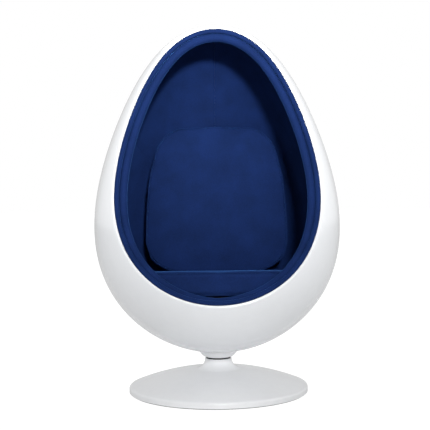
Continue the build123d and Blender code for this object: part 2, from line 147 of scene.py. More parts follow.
def smooth(piece: Piece, degrees: float = 35.0) -> Piece:
    """Smooth shading, with edges sharper than an angle left crisp.

    Args:
        piece: The object to shade.
        degrees: That angle.

    Returns:
        The same object.
    """
    activate(piece)
    bpy.ops.object.shade_smooth_by_angle(angle=math.radians(degrees))
    return piece


def draw_chain(name: str, points: Sequence[Vector], closed: bool = False) -> Piece:
    """Draws a line of edges by extruding one point from place to place.

    Args:
        name: The new object's name.
        points: The places, in order.
        closed: Whether the last point is joined to the first.

    Returns:
        The new object, at the origin, with nothing selected in it.
    """
    bpy.ops.object.select_all(action="DESELECT")
    bpy.ops.mesh.primitive_plane_add(size=MM)
    chain = bpy.context.object
    chain.name = name
    with editing(chain):
        bpy.ops.mesh.merge(type="CENTER")
        bpy.ops.transform.translate(value=points[0])
        for here, there in zip(points, points[1:]):
            bpy.ops.mesh.extrude_vertices_move(TRANSFORM_OT_translate={"value": there - here})
        bpy.ops.mesh.select_all(action="DESELECT")
    if closed:
        ends = (0, len(points) - 1)
        chain.data.vertices.foreach_set("select", [i in ends for i in range(len(points))])
        with editing(chain):
            bpy.ops.mesh.edge_face_add()
    return chain


def cut(piece: Piece, point: Vector, normal: Vector, keep_behind: bool = True) -> Piece:
    """Saws a piece along a plane.

    Args:
        piece: The object to cut.
        point: A point on the plane.
        normal: The plane's normal.
        keep_behind: Whether what lies in front of the plane is thrown away.

    Returns:
        The same object, with a line of points along the plane.
    """
    with editing(piece):
        bpy.ops.mesh.select_all(action="SELECT")
        bpy.ops.mesh.bisect(
            plane_co=point, plane_no=normal, clear_outer=keep_behind, threshold=0.001 * MM
        )
    return piece


def tube(path: Piece, radius: float, sides: int = 20) -> Piece:
    """Turns a chain of edges into a round cord along it.

    Args:
        path: The chain, which becomes the cord.
        radius: The cord's radius.
        sides: How many sides its section has, an even number.

    Returns:
        The same object, as a mesh.
    """
    activate(path)
    bpy.ops.object.convert(target="CURVE")
    path.data.bevel_depth = radius
    path.data.bevel_resolution = sides // 2 - 2
    path.data.fill_mode = "FULL"
    path.data.use_fill_caps = True
    bpy.ops.object.convert(target="MESH")
    return clean(path)


@dataclass(frozen=True)
class Lathe:
    """A spindle to turn outlines on.

    Attributes:
        foot: Where the axis starts.
        way: The axis's direction.
        steps: How many stations a full turn has.
    """

    foot: Vector = Vector((0.0, 0.0, 0.0))
    way: Vector = Vector((0.0, 0.0, 1.0))
    steps: int = 144

    def place(self, radius: float, height: float) -> Vector:
        """The place of an outline's point before it is turned."""
        return self.foot + self.way * height + Vector((radius, 0.0, 0.0))

    def turn(self, name: str, outline: Sequence[Flat], closed: bool) -> Piece:
        """Spins an outline of (radius, height) points into a round piece.

        Args:
            name: The new object's name.
            outline: The outline's points.
            closed: Whether the outline is a ring, for a piece with a hole through it.

        Returns:
            The turned object.
        """
        piece = draw_chain(name, [self.place(*point) for point in outline], closed)
        with editing(piece):
            bpy.ops.mesh.select_all(action="SELECT")
            bpy.ops.mesh.spin(steps=self.steps, angle=math.tau, center=self.foot, axis=self.way)
        return clean(piece)


def arc(centre: Flat, radius: float, start: float, end: float, steps: int) -> list[Flat]:
    """Points along an arc of an outline.

    Args:
        centre: The arc's centre.
        radius: Its radius.
        start: Its first angle, in radians from the outward direction.
        end: Its last angle.
        steps: How many pieces it is divided into.

    Returns:
        The points, both ends included.
    """
    angles = [start + (end - start) * i / steps for i in range(steps + 1)]
    return [(centre[0] + radius * math.cos(a), centre[1] + radius * math.sin(a)) for a in angles]


def circle(first: Flat, second: Flat, third: Flat) -> tuple[Flat, float]:
    """The circle through three points of an outline.

    Args:
        first: The first point.
        second: The second point.
        third: The third point.

    Returns:
        The circle's centre and its radius.
    """
    (x1, z1), (x2, z2), (x3, z3) = first, second, third
    (a, b), (c, d) = (x2 - x1, z2 - z1), (x3 - x2, z3 - z2)
    e = a * ((x1 + x2) / 2) + b * ((z1 + z2) / 2)
    f = c * ((x2 + x3) / 2) + d * ((z2 + z3) / 2)
    under = a * d - b * c
    centre = ((e * d - b * f) / under, (a * f - e * c) / under)
    return centre, math.hypot(x1 - centre[0], z1 - centre[1])


def halve(low: float, high: float, test: Callable[[float], float], rounds: int = 40) -> float:
    """The value between two others at which a function changes sign.

    Args:
        low: The lower bound.
        high: The upper bound.
        test: The function.
        rounds: How often the range is halved.

    Returns:
        The value.
    """
    for _ in range(rounds):
        middle = (low + high) / 2
        if (test(low) < 0) == (test(middle) < 0):
            low = middle
        else:
            high = middle
    return (low + high) / 2


# -------- finishes


def linear(code: str) -> tuple[float, float, float, float]:
    """A colour for a shader, from its sRGB hex code.

    Args:
        code: The code, such as #FFFFFF.

    Returns:
        Linear red, green and blue, and full opacity.
    """
    values = [int(code[i : i + 2], 16) / 255 for i in (1, 3, 5)]
    red, green, blue = (v / 12.92 if v <= 0.04045 else ((v + 0.055) / 1.055) ** 2.4 for v in values)
    return red, green, blue, 1.0


WHITE = linear("#FFFFFF")


def node(tree: Any, kind: str, settings: dict[str, Any], links: dict[str, Any]) -> Any:
    """Adds a shader node.

    Args:
        tree: The material's node tree.
        kind: The node's type, without its ShaderNode prefix.
        settings: Values for its properties, or for its sockets where it has no such property.
        links: Sockets of other nodes, by the name or number of the input that they feed.

    Returns:
        The new node.
    """
    made = tree.nodes.new("ShaderNode" + kind)
    for key, value in settings.items():
        if isinstance(key, str) and hasattr(made, key):
            setattr(made, key, value)
        else:
            made.inputs[key].default_value = value
    for key, source in links.items():
        tree.links.new(source, made.inputs[key])
    return made


@dataclass(frozen=True)
class Finish:
    """What a surface is made of and how it was finished.

    Attributes:
        title: The material's name.
        slot: The record's slot that it belongs to.
        colour: Its main colour.
        shade: The darker or second colour that it varies to.
        rough: Its roughness.
        metallic: 1 for bare metal.
        patch: The size of its colour patches, in metres.
        grain: The size of its finest relief, in metres.
        relief: The height of that relief, in metres.
    """

    title: str
    slot: str
    colour: str
    shade: str
    rough: float
    metallic: float = 0.0
    patch: float = 0.03
    grain: float = 0.0012
    relief: float = 0.00005

    def material(self) -> Any:
        """The finish as a material, made once.

        Returns:
            The material.
        """
        made = bpy.data.materials.get(self.title)
        if made is None:
            made = bpy.data.materials.new(self.title)
            made.use_nodes = True
            made.node_tree.nodes.clear()
            shader = self.shader(made.node_tree)
            node(made.node_tree, "OutputMaterial", {}, {"Surface": shader.outputs[0]})
        return made

    def speckle(self, tree: Any, size: float, detail: float = 3.0) -> Any:
        """Noise whose patches have a real size, on the piece's own coordinates.

        Args:
            tree: The material's node tree.
            size: The size of a patch, in metres.
            detail: How many finer layers lie over the patches.

        Returns:
            The socket of the noise's value.
        """
        place = node(tree, "TexCoord", {}, {}).outputs["Object"]
        settings = {"Scale": 1 / size, "Detail": detail, "Roughness": 0.55}
        return node(tree, "TexNoise", settings, {"Vector": place}).outputs["Fac"]

    def drift(self, tree: Any) -> Any:
        """How far the colour is on its way from the shade to the main one."""
        return self.speckle(tree, self.patch)

    def hue(self, tree: Any) -> Any:
        """The colour, drifting between the shade and the main one."""
        settings = {"data_type": "RGBA", 6: linear(self.shade), 7: linear(self.colour)}
        return node(tree, "Mix", settings, {0: self.drift(tree)}).outputs[2]

    def surface(self, tree: Any) -> Any:
        """The relief as a normal."""
        settings = {"Strength": 1.0, "Distance": self.relief}
        return node(tree, "Bump", settings, {"Height": self.speckle(tree, self.grain)}).outputs[0]

    def values(self) -> dict[str, Any]:
        """What the shader's own sockets are set to."""
        return {"Roughness": self.rough, "Metallic": self.metallic}

    def shader(self, tree: Any) -> Any:
        """The principled shader with this finish's values."""
        links = {"Base Color": self.hue(tree), "Normal": self.surface(tree)}
        return node(tree, "BsdfPrincipled", self.values(), links)

    def dress(self, *pieces: Piece) -> None:
        """Gives pieces this finish as their only material.

        Args:
            pieces: The objects to dress.
        """
        for piece in pieces:
            piece.data.materials.clear()
            piece.data.materials.append(self.material())


@dataclass(frozen=True)
class Lacquer(Finish):
    """Gelcoat or sprayed lacquer: a colour coat under a clear gloss, with a faint ripple.

    Attributes:
        coat: How strong the clear gloss is.
        coat_rough: Its roughness.
    """

    coat: float = 0.6
    coat_rough: float = 0.06

    def values(self) -> dict[str, Any]:
        """Those of the colour coat, and the clear one."""
        return super().values() | {"Coat Weight": self.coat, "Coat Roughness": self.coat_rough}


@dataclass(frozen=True)
class Velvet(Finish):
    """Short-pile velvet: deep colour, light along its edges, and patches of painted sheen where the
    pile leans.

    Attributes:
        sheen: How strong the light along its edges is.
        sheen_rough: How wide that light spreads.
        sheen_colour: Its colour.
        gloss: How strong the highlight is, which the pile all but swallows.
        lean: The size of the patches of painted sheen where the pile leans, in metres.
        fade: Between which sums of the two speckles the colour goes from shade to main.
    """

    sheen: float = 0.6
    sheen_rough: float = 0.35
    sheen_colour: str = "#4A84DC"
    gloss: float = 0.08
    lean: float = 0.075
    fade: tuple[float, float] = (0.55, 1.4)

    def drift(self, tree: Any) -> Any:
        """Soft patches of painted sheen where the pile leans, with its fine speckle over them.

        Args:
            tree: The material's node tree.

        Returns:
            The socket of how far the colour is on its way from the shade to the main one.
        """
        # Painted sheen: the large patches lighten the colour where the pile is taken to lean to the
        # light.
        patches = self.speckle(tree, self.lean, 2.0)
        pile = self.speckle(tree, self.patch, 4.0)
        both = node(tree, "Math", {"operation": "ADD"}, {0: patches, 1: pile}).outputs[0]
        settings = {"From Min": self.fade[0], "From Max": self.fade[1]}
        return node(tree, "MapRange", settings, {"Value": both}).outputs[0]

    def values(self) -> dict[str, Any]:
        """Those of any finish, with the pile's sheen.

        Returns:
            The values, by the socket's name.
        """
        return super().values() | {
            "Sheen Weight": self.sheen,
            "Sheen Roughness": self.sheen_rough,
            "Sheen Tint": linear(self.sheen_colour),
            "Specular IOR Level": self.gloss,
        }


# Polished gelcoat on glass-fibre laminate: hard white gloss with a long, faint ripple.
GELCOAT = Lacquer("polished_white_gelcoat", "shell_gloss", "#F0F2F5", "#ECEEF1", 0.22, grain=0.02)
# Sprayed lacquer on spun steel: a little greyer than the shell, with a fine orange peel.
LACQUER = Lacquer("sprayed_white_lacquer", "base_lacquer", "#EBECEE", "#E6E7E9", 0.28, grain=0.004)
# The same lacquer on the hub's bowl, painted whiter than the base's: painted light that brightens
# the hub where it faces down under the shell.
HUB_PAINTED_LIGHT_LACQUER = Lacquer("hub_lacquer_painted_light", "hub_lacquer", "#F7F8FA", "#F2F3F5", 0.28, grain=0.004)
# Knitted velvet: soft navy, with patches where its pile leans; their lighter colour is painted
# sheen, standing in for the light that the leaning pile catches. The pile is 1.5 mm; its relief is
# drawn 2 mm wide and its colour 4 mm wide, finer than which nothing shows.
VELVET = Velvet("navy_velvet", "velvet", "#172D61", "#0F2149", 0.85, patch=0.004, grain=0.002)
HIDDEN_FINISHES = (
    # Pale grey-green crumb of reconstituted sheet, seen only in the section.
    Finish("bonded_foam_sheet", "foam", "#C9C9C2", "#B5B5AC", 0.95, relief=0.0004),
    # Painted shade: the board is near-black so that the deck, where it shows behind the seat
    # cushion's front, reads as the shadow there. A 6 mm figure of the wood shows in the black.
    Finish("plywood_painted_shade_black", "plywood", "#1E1B19", "#14110F", 0.55, patch=0.006),
    # Dull black fuzz that holds the cushion.
    Finish("hook_and_loop_tape", "hook_tape", "#1C1C1E", "#101012", 0.9, relief=0.0003),
    # Navy woven tape with fine teeth, a shade off the velvet.
    Finish("coil_zip_tape", "zip_teeth", "#16233F", "#0F1A30", 0.6, relief=0.0003),
    # Satin black with the slight orange peel of baked powder.
    Finish("black_powder_coat", "black_steel", "#1D1D1D", "#141414", 0.5, relief=0.0001),
    # Bright grey metal, clouded as zinc is.
    Finish("bright_zinc_plate", "zinc_steel", "#B9BBBC", "#A0A3A6", 0.35, 1.0),
    # Bare bearing metal with the fine marks of grinding.
    Finish("ground_steel", "ground_steel", "#A9A9AA", "#8F9092", 0.25, 1.0, grain=0.0006),
    # Milky bearing plastic.
    Finish("natural_nylon", "nylon", "#DAD7CC", "#CFCBBE", 0.45),
    # Smooth black bearing plastic with a clear highlight.
    Finish("black_acetal", "acetal", "#1A1A1B", "#131314", 0.3),
    # Matt black line in the neck's gap.
    Finish("seal_rubber", "seal_rubber", "#161617", "#0E0E0F", 0.7),
    # Dull grey ring that stands on the floor.
    Finish("foot_rubber", "foot_rubber", "#5A5A5B", "#4C4C4E", 0.8),
)


# -------- the egg


@dataclass(frozen=True)
class Egg:
    """The egg that the shell and every layer inside it follow.

    Attributes:
        radius: The radius scale of its profile.
        half: Half its height along its own axis.
        skew: What makes the profile fuller low down, by powers of the height.
        foot: Where its axis starts.
        tilt: How far the axis leans back, in degrees.
        stations: How many pieces the profile is divided into.
        steps: How many stations a full turn has.
    """

    radius: float = 415 * MM
    half: float = 581 * MM
    skew: tuple[float, float, float] = (-0.261, 0.050, 0.110)
    foot: Vector = Vector((0.0, -111 * MM, 152.5 * MM))
    tilt: float = 10.0
    stations: int = 88
    steps: int = 176

    @property
    def axis(self) -> Vector:
        """The direction of the egg's own axis."""
        return Vector((0.0, math.sin(math.radians(self.tilt)), math.cos(math.radians(self.tilt))))

    @property
    def ahead(self) -> Vector:
        """The direction across that axis, to the back."""
        return self.axis.cross(Vector((1.0, 0.0, 0.0)))

    def point(self, angle: float, inset: float) -> Flat:
        """Radius and height of the profile.

        Args:
            angle: From 0 at the foot to pi at the crown.
            inset: How far inside the outer surface.

        Returns:
            The radius, and the height along the axis.
        """
        a, b, c = self.skew
        u = -math.cos(angle)
        fullness = 1 + a * u + b * u**2 + c * u**3
        slope = a + 2 * b * u + 3 * c * u**2
        across = self.radius * (math.cos(angle) * fullness + math.sin(angle) ** 2 * slope)
        along = self.half * math.sin(angle)
        length = math.hypot(across, along)
        radius = self.radius * math.sin(angle) * fullness - inset * along / length
        return radius, self.half * (1 + u) + inset * across / length

    def skin(self, name: str, inset: float) -> Piece:
        """The whole egg as a closed skin, some way inside the outer surface.

        Args:
            name: The new object's name.
            inset: How far inside.

        Returns:
            The closed skin.
        """
        angles = [math.pi * i / self.stations for i in range(self.stations + 1)]
        outline = [self.point(angle, inset) for angle in angles]
        outline[0], outline[-1] = (0.0, outline[0][1]), (0.0, outline[-1][1])
        return Lathe(self.foot, self.axis, self.steps).turn(name, outline, closed=False)


@dataclass(frozen=True)
class Mouth:
    """The flat cut that opens the egg.

    Attributes:
        tilt: How far the cut leans back, in degrees.
        distance: Its distance from the origin.
    """

    tilt: float = 20.8
    distance: float = 494 * MM

    @property
    def normal(self) -> Vector:
        """The direction that the mouth faces."""
        return Vector((0.0, -math.cos(math.radians(self.tilt)), math.sin(math.radians(self.tilt))))

    @property
    def up(self) -> Vector:
        """The direction up the mouth's plane."""
        return Vector((1.0, 0.0, 0.0)).cross(-self.normal)

    def trim(self, piece: Piece, reach: float) -> Piece:
        """Cuts off what lies in front of the mouth's plane.

        Args:
            piece: The object to cut.
            reach: How near the plane a point may lie and slide onto it along the surface first,
                so that the cut leaves no slivers.

        Returns:
            The same object.
        """
        for vertex in piece.data.vertices:
            off = vertex.co.dot(self.normal) - self.distance
            if abs(off) < reach:
                along = self.normal - vertex.normal * self.normal.dot(vertex.normal)
                vertex.co -= along * (off / along.dot(self.normal))
        return cut(piece, self.normal * self.distance, self.normal)


EGG = Egg()
MOUTH = Mouth()


@dataclass(frozen=True)
class RimCord:
    """A cord that follows the inner edge of the shell's mouth.

    Attributes:
        name: The piece's name.
        radius: The cord's radius.
        inset: Distance of its middle from the shell's inner edge, at the crown and at the lip.
        sink: Depth of its middle behind the mouth's plane, at the crown and at the lip.
        wall: The shell's thickness.
        points: How many points its path has on each side.
        gather: How late on the way to the lip the inset changes, as a power of the way.
        pole: How far from the egg's poles the mouth's edge is looked for, in radians.
    """

    name: str
    radius: float
    inset: tuple[float, float]
    sink: tuple[float, float]
    wall: float = 6 * MM
    points: int = 110
    gather: int = 4
    pole: float = 0.1

    def edge(self) -> list[Vector]:
        """The shell's inner edge, from the crown down the +X side to the lip.

        Returns:
            The points, which lie closer together at both ends.
        """
        lean = math.radians(MOUTH.tilt - EGG.tilt)
        reach = MOUTH.distance - MOUTH.normal.dot(EGG.foot)

        def forward(height: float) -> float:
            """How far behind the egg's axis the mouth's plane is at a height."""
            return (height * math.sin(lean) - reach) / math.cos(lean)

        def crossing(angle: float) -> float:
            """Zero where the profile's front line meets the mouth's plane."""
            radius, height = EGG.point(angle, self.wall)
            return radius + forward(height)

        lip = halve(self.pole, math.pi / 2, crossing)
        crown = halve(math.pi / 2, math.pi - self.pole, crossing)
        places = []
        for i in range(self.points + 1):
            angle = crown + (lip - crown) * (1 - math.cos(math.pi * i / self.points)) / 2
            radius, height = EGG.point(angle, self.wall)
            side = math.sqrt(max(0.0, radius**2 - forward(height) ** 2))
            across = EGG.ahead * forward(height)
            places.append(EGG.foot + EGG.axis * height + across + Vector((side, 0.0, 0.0)))
        return places

    def path(self) -> list[Vector]:
        """The cord's middle line, once round, from the crown.

        Returns:
            The points, in order, with the last one next to the first.
        """
        edge = self.edge()
        lengths = [0.0]
        for here, there in zip(edge, edge[1:]):
            lengths.append(lengths[-1] + (there - here).length)
        top, low = edge[0].dot(MOUTH.up), edge[-1].dot(MOUTH.up)
        side = []
        for i, point in enumerate(edge):
            share = lengths[i] / lengths[-1]
            along = edge[min(i + 1, self.points)] - edge[max(i - 1, 0)]
            if i in (0, self.points):
                along = Vector((1.0 if i == 0 else -1.0, 0.0, 0.0))
            inward = along.cross(MOUTH.normal).normalized()
            inset = self.inset[0] + (self.inset[1] - self.inset[0]) * share**self.gather
            point = point + inward * inset
            down = (top - point.dot(MOUTH.up)) / (top - low)
            sink = self.sink[0] + (self.sink[1] - self.sink[0]) * down
            side.append(point - MOUTH.normal * sink)
        other = [Vector((-point.x, point.y, point.z)) for point in reversed(side[1:-1])]
        return side + other

    def plane(self) -> Plane:
        """The flat that the ring lies in.

        Returns:
            A point of it, and its normal out of the shell.
        """
        path = self.path()
        crown, lip = path[0], path[self.points]
        return lip, Vector((1.0, 0.0, 0.0)).cross(crown - lip).normalized()

    def build(self) -> Piece:
        """The cord as a closed ring."""
        return smooth(tube(draw_chain(self.name, self.path(), closed=True), self.radius))


# -------- sub-assemblies


@dataclass
class OuterShell:
    """The laminated white egg with its mouth cut off.

    Attributes:
        wall: The laminate's thickness.
        edge_round: How wide the cut edge is rounded.
        round_steps: How many facets that rounding has.
        slide: How near the cut a point may lie to be slid onto it.
        band: How far behind the mouth's plane a point still counts as on it.
    """

    wall: float = 6 * MM
    edge_round: float = 1.6 * MM
    round_steps: int = 3
    slide: float = 4 * MM
    band: float = 0.05 * MM

    def build(self) -> Piece:
        """A double skin, cut, closed along the cut and rounded there.

        Returns:
            The shell.
        """
        shell = EGG.skin("shell", 0.0)
        modify(shell, "SOLIDIFY", thickness=self.wall, offset=-1.0, use_even_offset=True)
        MOUTH.trim(shell, self.slide)
        front = MOUTH.distance - self.band
        pick_points(shell, lambda point: point.dot(MOUTH.normal) > front)
        with editing(shell, "VERT"):
            bpy.ops.mesh.select_mode(type="EDGE")
            bpy.ops.mesh.bridge_edge_loops()
        clean(shell)
        pick_points(shell, lambda point: point.dot(MOUTH.normal) > front)
        with editing(shell, "VERT"):
            bpy.ops.mesh.select_mode(type="FACE")
            bpy.ops.mesh.region_to_loop()
            bpy.ops.mesh.bevel(offset=self.edge_round, segments=self.round_steps, affect="EDGES")
        return smooth(shell)

    def dress(self) -> None:
        """Builds the shell and puts it in place of its plain solid."""
        shell = self.build()
        GELCOAT.dress(shell)
        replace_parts(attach(shell, "pod"), "outer_shell")
        log.info("shell: %d faces", len(shell.data.polygons))


class Panel(Enum):
    """The panels that the lining is sewn from."""

    BOWL = "liner_bowl"
    RIGHT = "liner_right"
    LEFT = "liner_left"


@dataclass
class Lining:
    """Velvet panels over the foam, with the seams between them drawn down.

    Attributes:
        roll: The rim roll, whose flat the panels end at.
        face: How far inside the egg the velvet's face lies.
        thick: The velvet's thickness, with its scrim.
        seam_point: Where the three seams meet.
        seam_fall: How far the bowl's seam falls to the front, in degrees.
        seam_bands: Distances from a seam at which a panel gets a line of points.
        seam_depth: How far a seam is drawn down.
    """

    roll: RimCord
    face: float = 33 * MM
    thick: float = 3 * MM
    seam_point: Vector = Vector((0.0, 184 * MM, 869 * MM))
    seam_fall: float = 35.6
    seam_bands: tuple[float, ...] = (0.05 * MM, 2 * MM, 5 * MM, 10 * MM, 17 * MM)
    seam_depth: float = 1.2 * MM

    def sides(self, panel: Panel) -> list[Plane]:
        """The planes that bound a panel.

        Args:
            panel: The panel.

        Returns:
            Each plane as a point and its normal out of the panel.
        """
        fall = math.radians(self.seam_fall)
        up = Vector((0.0, math.sin(fall), math.cos(fall)))
        if panel is Panel.BOWL:
            return [(self.seam_point, up)]
        out = -1.0 if panel is Panel.RIGHT else 1.0
        return [(self.seam_point, -up), (Vector((0.0, 0.0, 0.0)), Vector((out, 0.0, 0.0)))]

    def build(self, panel: Panel) -> Piece:
        """One panel, cut along its seams and drawn down towards them.

        Args:
            panel: The panel.

        Returns:
            The panel, with its thickness.
        """
        piece = cut(EGG.skin("velvet_" + panel.value, self.face), *self.roll.plane())
        sides = self.sides(panel)
        for point, normal in sides:
            for i, band in enumerate(self.seam_bands):
                cut(piece, point - normal * band, normal, keep_behind=i == 0)
        normals = [vertex.normal.copy() for vertex in piece.data.vertices]
        reach = self.seam_bands[-1]
        for vertex, out in zip(piece.data.vertices, normals):
            near = min((point - vertex.co).dot(normal) for point, normal in sides)
            vertex.co += out * self.seam_depth * max(0.0, 1 - near / reach) ** 2
        modify(piece, "SOLIDIFY", thickness=self.thick, offset=1.0, use_even_offset=True)
        return smooth(clean(piece), SEWN)

    def dress(self) -> None:
        """Builds every panel."""
        for panel in Panel:
            piece = self.build(panel)
            VELVET.dress(piece)
            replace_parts(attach(piece, "pod"), panel.value)
            log.info("%s: %d faces", panel.value, len(piece.data.polygons))


@dataclass
class Rim:
    """Piping and a stuffed roll side by side round the mouth.

    Attributes:
        piping: The thin cord, along the shell's edge.
        roll: The thick cord inside it.
        fold_radius: The radius of the fold of cover between them.
        fold_sink: How far behind the line between their middles it lies.
        fold_sides: How many sides its section has.
    """

    piping: RimCord = RimCord("velvet_rim_piping", 7.8 * MM, (8.0 * MM,) * 2, (2.5 * MM,) * 2)
    roll: RimCord = RimCord(
        "velvet_rim_roll", 14.8 * MM, (28.5 * MM, 15 * MM), (12 * MM, 23.5 * MM)
    )
    fold_radius: float = 6 * MM
    fold_sink: float = 7 * MM
    fold_sides: int = 12

    def fold(self) -> Piece:
        """The fold of the cover that closes the bottom of the groove between the cords.

        Returns:
            The fold, as a closed ring.
        """
        points = []
        for outer, inner in zip(self.piping.path(), self.roll.path()):
            across = (inner - outer).normalized()
            back = across * across.dot(MOUTH.normal) - MOUTH.normal
            points.append((outer + inner) / 2 + back.normalized() * self.fold_sink)
        chain = draw_chain("velvet_rim_fold", points, closed=True)
        return smooth(tube(chain, self.fold_radius, self.fold_sides))

    def dress(self) -> None:
        """Builds both cords and the fold between them."""
        fold = self.fold()
        VELVET.dress(fold)
        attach(fold, "pod")
        log.info("%s: %d faces", fold.name, len(fold.data.polygons))
        for cord, replaced in ((self.piping, "rim_piping"), (self.roll, "rim_roll")):
            piece = cord.build()
            VELVET.dress(piece)
            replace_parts(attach(piece, "pod"), replaced)
            log.info("%s: %d faces", cord.name, len(piece.data.polygons))


@dataclass
class Cushion:
    """A loose boxed cushion, blown up like a stuffed cover between its seams.

    Attributes:
        source: The CAD node whose room it fills.
        seams: Planes that its two seams lie in, as (point, normal).
        voxel: The size of its mesh's faces.
        pressure: How hard it is stuffed.
        cap: How far a point may swell.
        hold: How near a seam the cover is held.
        welt: The radius of the sewn ridge along each seam.
        welt_sides: How many sides the ridge's section has.
        merge: How near two points of the solid lie that count as one.
        on_line: How near a seam's plane a point of the seam lies.
        bend: The least angle of an edge that is sewn, in degrees.
        band: How far behind the front seam a stiff border starts.
        frames: How long the cloth is blown up.
        stiff: Whether the border keeps its place, and only the front panel swells.
        waist: How far the border is drawn in halfway between the seams.
        lift: How much higher than the front seam the top of the back seam stands.
        corner: The radius that the two corners at the foot are rounded to.
        taper: Height above the foot where the sides start to close in, and the share that they
            have closed in by at each height above it.
        ease: How gently they start to close in, as a power of that height.
    """

    source: str
    seams: list[Plane]
    voxel: float = 5.5 * MM
    pressure: float = 4.0
    cap: float = 12 * MM
    hold: float = 7 * MM
    welt: float = 1.7 * MM
    welt_sides: int = 8
    merge: float = 0.02 * MM
    on_line: float = 0.4 * MM
    bend: float = 38.0
    band: float = 2 * MM
    frames: int = 20
    stiff: bool = False
    waist: float = 0.0
    lift: float = 0.0
    corner: float = 0.0
    taper: tuple[float, float] = (1.0, 0.0)
    ease: float = 1.3

    def depth(self, place: Vector) -> float:
        """How far a place lies behind the front seam's plane."""
        at, normal = self.seams[0]
        return (at - place).dot(normal)

    def reshape(self, piece: Piece) -> Piece:
        """Draws the border in, lifts its top to the back and rounds the sides off.

        Args:
            piece: The cushion, or its seam lines.

        Returns:
            The same piece.
        """
        at, normal = self.seams[0]
        thick = self.depth(self.seams[1][0])
        up = normal.cross(Vector((1.0, 0.0, 0.0)))
        heights = [(vertex.co - at).dot(up) for vertex in piece.data.vertices]
        low, high = min(heights), max(heights)
        half = (high - low) / 2
        middle = at + up * (low + half)
        width = max(vertex.co.x for vertex in piece.data.vertices)
        start, share = self.taper
        for vertex, height in zip(piece.data.vertices, heights):
            behind = self.depth(vertex.co)
            back = min(max(behind / thick, 0.0), 1.0)
            out = (vertex.co + normal * behind - middle) / half
            vertex.co -= out * self.waist * math.sin(math.pi * back)
            vertex.co += up * self.lift * back * max(0.0, out.dot(up)) ** 2
            vertex.co.x *= 1.0 - share * max(0.0, height - start) ** self.ease
            short = min(max(self.corner - (height - low), 0.0), self.corner)
            drawn = self.corner - math.sqrt(self.corner**2 - short**2)
            vertex.co.x *= 1.0 - drawn / width
        return piece

    def solid(self) -> Piece:
        """A merged copy of the CAD cushion.

        Returns:
            The copy, under the visual piece's name.
        """
        piece = bpy.data.objects.new("velvet_" + self.source, NODES[self.source].data.copy())
        bpy.context.scene.collection.objects.link(piece)
        return clean(piece, self.merge)

    def seam_lines(self, piece: Piece) -> Piece:
        """The sewn edges of the cushion as a chain of their own.

        Args:
            piece: The copy of the solid.

        Returns:
            The chain.
        """
        activate(piece)
        bpy.ops.object.duplicate()
        lines = bpy.context.object
        lines.name = "velvet_" + self.source + "_seams"

        def on_seam(point: Vector) -> bool:
            """Whether a point lies in the plane of a seam."""
            return any(abs((point - at).dot(normal)) < self.on_line for at, normal in self.seams)

        mesh = lines.data
        with editing(lines, "EDGE"):
            bpy.ops.mesh.select_all(action="DESELECT")
            bpy.ops.mesh.edges_select_sharp(sharpness=math.radians(self.bend))
        keep = [
            edge.select and all(on_seam(mesh.vertices[i].co) for i in edge.vertices)
            for edge in mesh.edges
        ]
        for part in (mesh.polygons, mesh.vertices):
            part.foreach_set("select", [False] * len(part))
        mesh.edges.foreach_set("select", [not kept for kept in keep])
        mesh.update()
        with editing(lines, "EDGE"):
            bpy.ops.mesh.delete(type="EDGE")
        pick_points(lines, lambda point: not on_seam(point))
        with editing(lines, "VERT"):
            bpy.ops.mesh.delete(type="VERT")
        return lines

    def plump(self, piece: Piece, lines: Piece) -> None:
        """Swells the cover with cloth pressure, held along its seams.

        Args:
            piece: The cover.
            lines: Its seams.
        """
        tree = kdtree.KDTree(len(lines.data.vertices))
        for i, vertex in enumerate(lines.data.vertices):
            tree.insert(vertex.co, i)
        tree.balance()
        start = [vertex.co.copy() for vertex in piece.data.vertices]
        held = [
            i
            for i, place in enumerate(start)
            if tree.find(place)[2] < self.hold or (self.stiff and self.depth(place) > self.band)
        ]
        piece.vertex_groups.new(name="held").add(held, 1.0, "REPLACE")
        activate(piece)
        cloth = piece.modifiers.new("Cloth", "CLOTH")
        cloth.settings.use_pressure = True
        cloth.settings.uniform_pressure_force = self.pressure
        cloth.settings.vertex_group_mass = "held"
        cloth.settings.effector_weights.gravity = 0.0
        cloth.point_cache.frame_start, cloth.point_cache.frame_end = 1, self.frames
        for number in range(1, self.frames + 1):
            bpy.context.scene.frame_set(number)
        bpy.ops.object.modifier_apply(modifier=cloth.name)
        for vertex, place in zip(piece.data.vertices, start):
            moved = vertex.co - place
            if moved.length > self.cap:
                vertex.co = place + moved.normalized() * self.cap
        bpy.context.scene.frame_set(1)

    def dress(self) -> None:
        """Builds the cushion and its sewn ridges."""
        piece = self.solid()
        lines = self.reshape(self.seam_lines(piece))
        self.reshape(modify(piece, "REMESH", mode="VOXEL", voxel_size=self.voxel))
        self.plump(piece, lines)
        smooth(tube(lines, self.welt, self.welt_sides), SEWN)
        smooth(piece, PADDED)
        VELVET.dress(piece, lines)
        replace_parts(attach(piece, "pod"), self.source)
        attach(lines, "pod")
        for made in (piece, lines):
            log.info("%s: %d faces", made.name, len(made.data.polygons))


